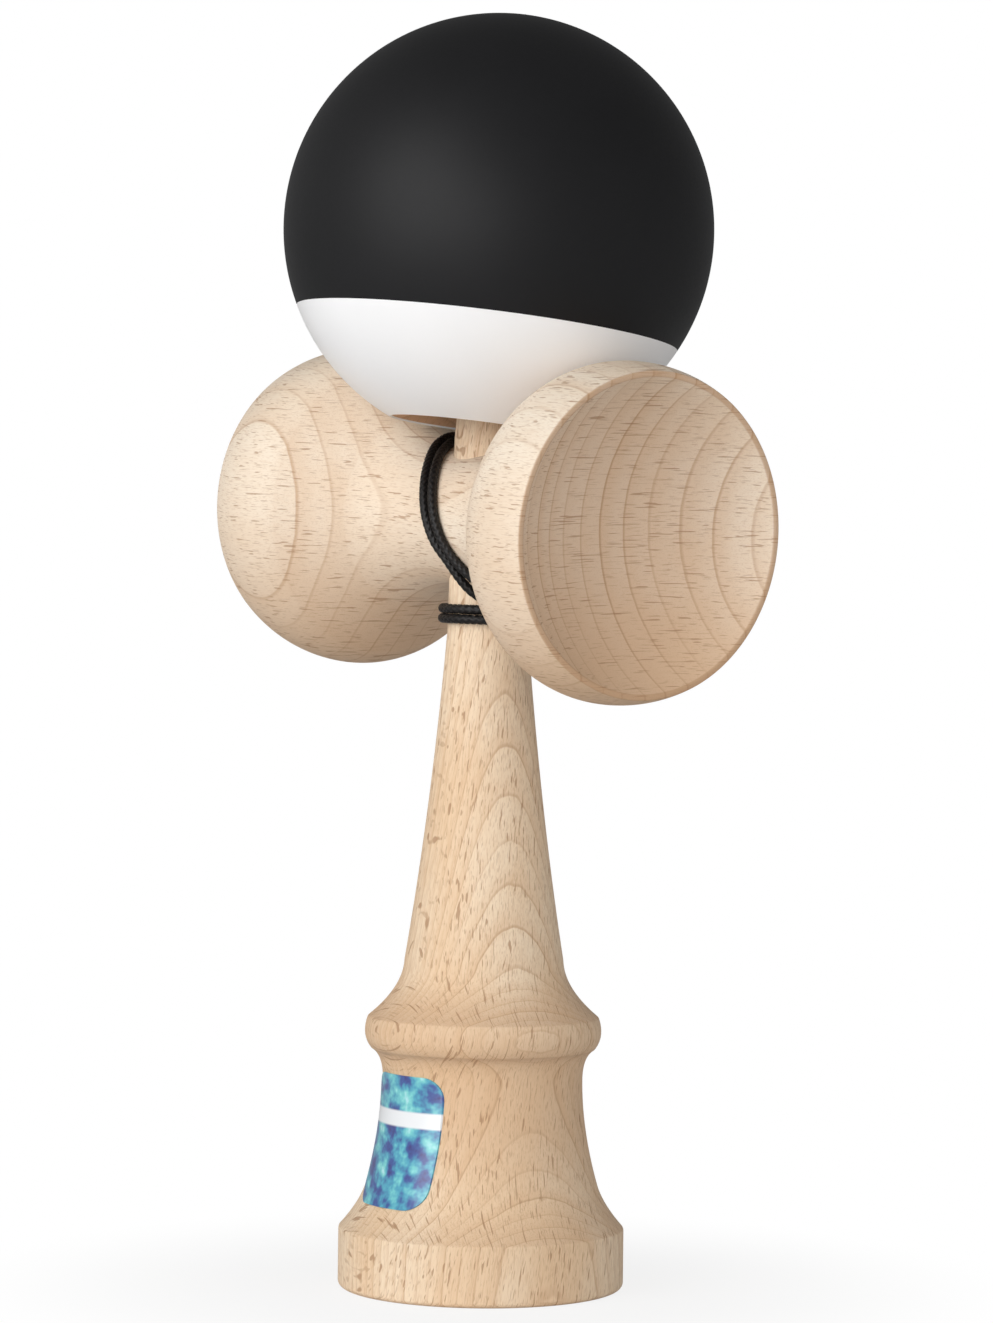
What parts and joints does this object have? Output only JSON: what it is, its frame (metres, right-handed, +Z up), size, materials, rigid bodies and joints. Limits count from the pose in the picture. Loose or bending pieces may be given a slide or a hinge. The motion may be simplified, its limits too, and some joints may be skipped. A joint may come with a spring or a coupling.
{
  "type": "kendama",
  "caption": "Wooden cup-and-ball toy: a turned stick with spike, base cup and crosspiece cups, and a holed painted ball on the spike, tied by a wound string.",
  "frame": {"origin": "middle of the flat ring under the base, on the stick's axis", "axes": "+Z up along the stick towards the spike; +X along the crosspiece towards the lower cup; -Y towards the label"},
  "size_m": [0.0776, 0.0613, 0.1785],
  "materials": {
    "stick_wood": "sanded, unvarnished",
    "crosspiece_wood": "sanded, unvarnished",
    "ball_wood": "sanded, unvarnished",
    "dark_paint": "soft matte",
    "pale_paint": "satin",
    "bead_wood": "sanded, unvarnished",
    "string": "braided",
    "label_film": "printed film"
  },
  "bodies": {
    "ken": {"ken": "stick_wood", "sarado": "crosspiece_wood", "label": "label_film", "ken_knot": "string", "string_in_ken": "string", "string_winding": "string", "string_run": "string"},
    "tether": {"bead": "bead_wood", "bead_knot": "string", "string_in_tama": "string"},
    "tama": {"tama_core": "ball_wood", "tama_dark_coat": "dark_paint", "tama_pale_coat": "pale_paint"}
  },
  "joints": [
    {"name": "tama_lift", "type": "slide", "parent": "ken", "child": "tether", "axis": [0, 0, 1], "range_m": [0, 0.042], "deforming": ["string_run"]},
    {"name": "tama_spin", "type": "hinge", "parent": "tether", "child": "tama", "pos_m": [0.0035, -0.0014, 0.14765], "axis": [0.0598, 0.092, 0.994], "continuous": true}
  ]
}
